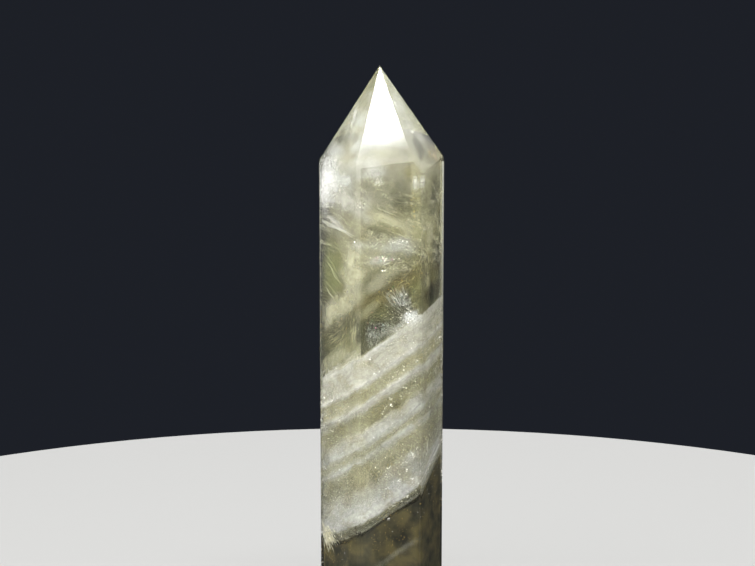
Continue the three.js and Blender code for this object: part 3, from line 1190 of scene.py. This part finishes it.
def add_facing(tree, parts, way):
    """How nearly a direction, given by its three parts, faces another one."""
    total = 0.0
    for part, share in zip(parts, way):
        total = add_math(tree, "ADD", total, add_math(tree, "MULTIPLY", part, share))
    return total


def surroundings(scene):
    """Dark backdrop; soft dome with a dark flag in it, a glow from both sides, a lamp at the front left."""
    world = bpy.data.worlds.new("studio")
    scene.world = world
    world.use_nodes = True
    tree = world.node_tree
    split = tree.nodes.new("ShaderNodeSeparateXYZ")
    link(tree, tree.nodes.new("ShaderNodeTexCoord").outputs["Generated"], split.inputs[0])
    x, y, z = split.outputs
    from_left = add_math(tree, "SUBTRACT", 1.0, add_math(tree, "MULTIPLY", x, LEFT_BIAS))
    dome = add_math(tree, "MULTIPLY", add_band(tree, z, 0.0, 0.85), from_left)
    sideways = add_band(tree, add_math(tree, "ABSOLUTE", x), 0.72, 0.96)
    glow = add_math(tree, "MULTIPLY", sideways, add_band(tree, z, -0.26, -0.08))
    key = add_band(tree, add_facing(tree, (x, y, z), KEY_WAY), 0.72, 0.97)
    flag = add_band(tree, add_facing(tree, (x, y, z), FLAG_WAY), 0.80, 0.96)
    dome = mix_values(tree, add_math(tree, "MULTIPLY", flag, FLAG_SHARE), dome, 0.0)
    lit = FAINT_LIGHT
    for lamp, strength in ((dome, DOME_STRENGTH), (glow, SIDE_STRENGTH), (key, KEY_STRENGTH)):
        lit = add_math(tree, "ADD", lit, add_math(tree, "MULTIPLY", lamp, strength))
    light = tree.nodes["Background"]
    link(tree, lit, light.inputs["Strength"])
    light.inputs["Color"].default_value = (1.0, 1.0, 1.0, 1.0)
    backdrop = tree.nodes.new("ShaderNodeBackground")
    backdrop.inputs["Color"].default_value = (0.0125, 0.0145, 0.020, 1.0)
    seen = tree.nodes.new("ShaderNodeMixShader")
    link(tree, tree.nodes.new("ShaderNodeLightPath").outputs["Is Camera Ray"], seen.inputs[0])
    link(tree, light.outputs[0], seen.inputs[1])
    link(tree, backdrop.outputs[0], seen.inputs[2])
    link(tree, seen.outputs[0], tree.nodes["World Output"].inputs["Surface"])


def softbox():
    """Large soft light over the front, which the front facet of the tip mirrors."""
    lamp = bpy.data.lights.new("softbox", "AREA")
    lamp.shape = "RECTANGLE"
    lamp.size = SOFTBOX_SIDE
    lamp.size_y = SOFTBOX_SIDE
    lamp.energy = SOFTBOX_POWER
    lamp.use_nodes = True
    tree = lamp.node_tree
    split = tree.nodes.new("ShaderNodeSeparateXYZ")
    link(tree, tree.nodes.new("ShaderNodeNewGeometry").outputs["Parametric"], split.inputs[0])
    soft_edge = add_band(tree, split.outputs[1], *SOFTBOX_EDGE)
    link(tree, soft_edge, tree.nodes["Emission"].inputs["Strength"])
    box = new_object("softbox", lamp)
    tip = Vector((0.0, 0.0, cad_box[1][2]))
    azimuth = math.radians(SOFTBOX_AZIMUTH)
    elevation = math.radians(SOFTBOX_ELEVATION)
    way = Vector(
        (
            math.cos(elevation) * math.cos(azimuth),
            math.cos(elevation) * math.sin(azimuth),
            math.sin(elevation),
        )
    )
    box.location = tip + way * SOFTBOX_DISTANCE
    box.rotation_euler = (-way).to_track_quat("-Z", "Y").to_euler()
    box.visible_transmission = False


def pale_floor():
    mesh = bpy.data.meshes.new("floor")
    shape = bmesh.new()
    bmesh.ops.create_circle(shape, cap_ends=True, segments=128, radius=FLOOR_RADIUS)
    shape.to_mesh(mesh)
    shape.free()
    floor = new_object("floor", mesh)
    material, tree, shader = new_material("pale_floor")
    shader.inputs["Base Color"].default_value = (0.18, 0.18, 0.176, 1.0)
    shader.inputs["Roughness"].default_value = 0.8
    mesh.materials.append(material)
    floor.visible_glossy = False
    floor.visible_transmission = False


def studio():
    scene = bpy.context.scene
    scene.view_settings.view_transform = "Standard"
    scene.cycles.transparent_max_bounces = 48
    scene.cycles.max_bounces = 20
    scene.cycles.transmission_bounces = 16
    scene.cycles.diffuse_bounces = 5
    surroundings(scene)
    softbox()
    pale_floor()


def camera():
    """Looks slightly down at the upper part of the crystal from half a metre away."""
    view = bpy.data.cameras.new("camera")
    view.sensor_width = 36.0
    view.lens = CAMERA_LENS
    obj = new_object("camera", view)
    pitch = math.radians(CAMERA_PITCH)
    aim = Vector(CAMERA_AIM) * MM
    away = Vector((0.0, -math.cos(pitch), math.sin(pitch)))
    obj.location = aim + away * CAMERA_DISTANCE
    obj.rotation_euler = (math.pi / 2 - pitch, 0.0, 0.0)
    bpy.context.scene.camera = obj


# ---------------------------------------------------------------- putting it together


def add_piece(obj):
    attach(obj, "root")


def build_body():
    body = polished_body()
    body.data.materials.append(citrine_glass())
    add_piece(body)
    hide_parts(NODE)


def build_milk(growth, flakes):
    milk = flake_material("milky_flake", (0.97, 0.97, 0.95), (0.76, 0.74, 0.60), 0.45)
    grain = {"flake_size": 0.21 * MM, "size_spread": 0.7, "slimness": 0.75}
    for name, seed in (("milk_grains_a", 11), ("milk_grains_b", 12)):
        points = milk_points(42000, seed)
        add_piece(grow_flakes(name, points, flakes, milk, seed=seed, **grain))
    # White cloud grains, brightened by a painted glow.
    bright = flake_material("cloud_flake_painted_light", (0.98, 0.98, 0.98), (0.92, 0.92, 0.90), 0.45, 0.0, CLOUD_PAINTED_LIGHT)
    points = about_spots(CLOUD_SPOTS, 13)
    add_piece(grow_flakes("cloud_grains_painted_light", points, flakes, bright, seed=14, **grain))
    sheet = haze_material("milky_sheet", growth, 0.6, 0.5, 0.4)
    add_piece(growth_sheets("milky_sheets", SHEET_HEIGHTS, 0.6, sheet, 3))
    film = haze_material("milky_film", growth, 0.5, 0.6, 0.6)
    top = cad_box[1][2] / MM - 7
    for name, depths, seed in (("outer_films", (0.6, 1.5, 2.7), 21), ("inner_films", (4.2, 6.1, 8.6), 31)):
        piece = nested_films(name, depths, 20, top, 0.9, film, seed, 150)
        paint_patches(piece)
        add_piece(piece)


def build_smoke(growth):
    # Smoky stone near the base, darkened in part by painted shade.
    smoke = smoke_and_shade_material(growth)
    add_piece(nested_films("smoky_and_painted_shade_films", (0.9, 2.2, 4.4, 7.0), 2, 64, 0.6, smoke, 41, 50))


def build_cracks():
    add_piece(healed_sheets("healed_veils", HEALED_PLANES, 1.6, healed_material(), 61))
    # Silver cracks: half-metallic blades with a faint painted sheen from their glow.
    silver_and_painted_sheen = flake_material("silver_crack_painted_sheen", (0.98, 0.98, 0.98), (0.62, 0.70, 0.66), 0.15, 0.5, 0.15)
    add_piece(feathers("silver_feathers_painted_sheen", SILVER_FEATHERS, silver_and_painted_sheen))
    straw = flake_material("straw_crack", (0.93, 0.91, 0.74), (0.70, 0.66, 0.44), 0.3)
    add_piece(feathers("straw_feathers", STRAW_FEATHERS, straw))
    white = flake_material("white_crack", (0.98, 0.98, 0.95), (0.80, 0.80, 0.70), 0.25)
    add_piece(hair_cracks("hair_cracks", HAIR_CRACKS, white))


def glint_spots(seed):
    """Small clusters of sparkles strewn behind the faces."""
    rng = np.random.default_rng(seed)
    spots = []
    for face, count in GLINT_COUNTS:
        across = rng.uniform(-GLINT_REACH, GLINT_REACH, count)
        heights = rng.uniform(*GLINT_HEIGHTS, count)
        for place in zip(across, heights):
            spots.append(FlakeSpot(face, *place, GLINT_DEPTH, *GLINT_SIZES, GLINT_FLAKES))
    return spots


def build_glints(flakes):
    # Sparkles: metallic flakes that reflect, plus a painted glint from their glow.
    spark = flake_material("sparkle", (1.0, 1.0, 1.0), (0.9, 0.9, 0.88), 0.2, 0.9, SPARKLE_PAINTED_GLINT)
    spots = (*SPARKLE_SPOTS, *glint_spots(85))
    points = np.vstack([along_layers(SPARKLE_LAYERS, 71), about_spots(spots, 72)])
    glint = {"flake_size": 0.42 * MM, "size_spread": 0.75}
    add_piece(grow_flakes("sparkles", points, flakes, spark, seed=73, **glint))
    brown = flake_material("brown_grain", (0.42, 0.37, 0.18), (0.20, 0.18, 0.09), 0.5)
    points = clumped(along_layers(BROWN_LAYERS, 77), 5)
    coarse = {"flake_size": 0.30 * MM, "size_spread": 0.7, "slimness": 0.75}
    add_piece(grow_flakes("brown_grains", points, flakes, brown, seed=78, **coarse))
    frost = flake_material("frost_grain", (0.90, 0.90, 0.80), (0.50, 0.49, 0.34), 0.45)
    points = np.vstack([along_layers(FROST_LAYERS, 79, FROST_SPREAD), about_spots(FROST_SPOTS, 80)])
    fine = {"flake_size": 0.20 * MM, "size_spread": 0.7, "slimness": 0.75}
    add_piece(grow_flakes("frost_grains", clumped(points, 6), flakes, frost, seed=81, **fine))
    points = about_spots(RAINBOW_SPOTS, 75)
    add_piece(grow_flakes("rainbow_glints", points, flakes, rainbow_material(), seed=76, **glint))
    gold = flake_material("golden_fleck", (0.80, 0.58, 0.20), (0.40, 0.28, 0.08), 0.35, 0.3)
    points = np.vstack([about_spots(GOLD_SPOTS, 82), along_layers(GOLD_LAYERS, 83)])
    fleck = {"flake_size": 0.36 * MM, "size_spread": 0.7}
    add_piece(grow_flakes("golden_flecks", points, flakes, gold, seed=84, **fleck))


def build():
    growth = growth_group()
    flakes = flake_tree()
    build_body()
    build_milk(growth, flakes)
    build_smoke(growth)
    build_cracks()
    build_glints(flakes)


build()
studio()
camera()
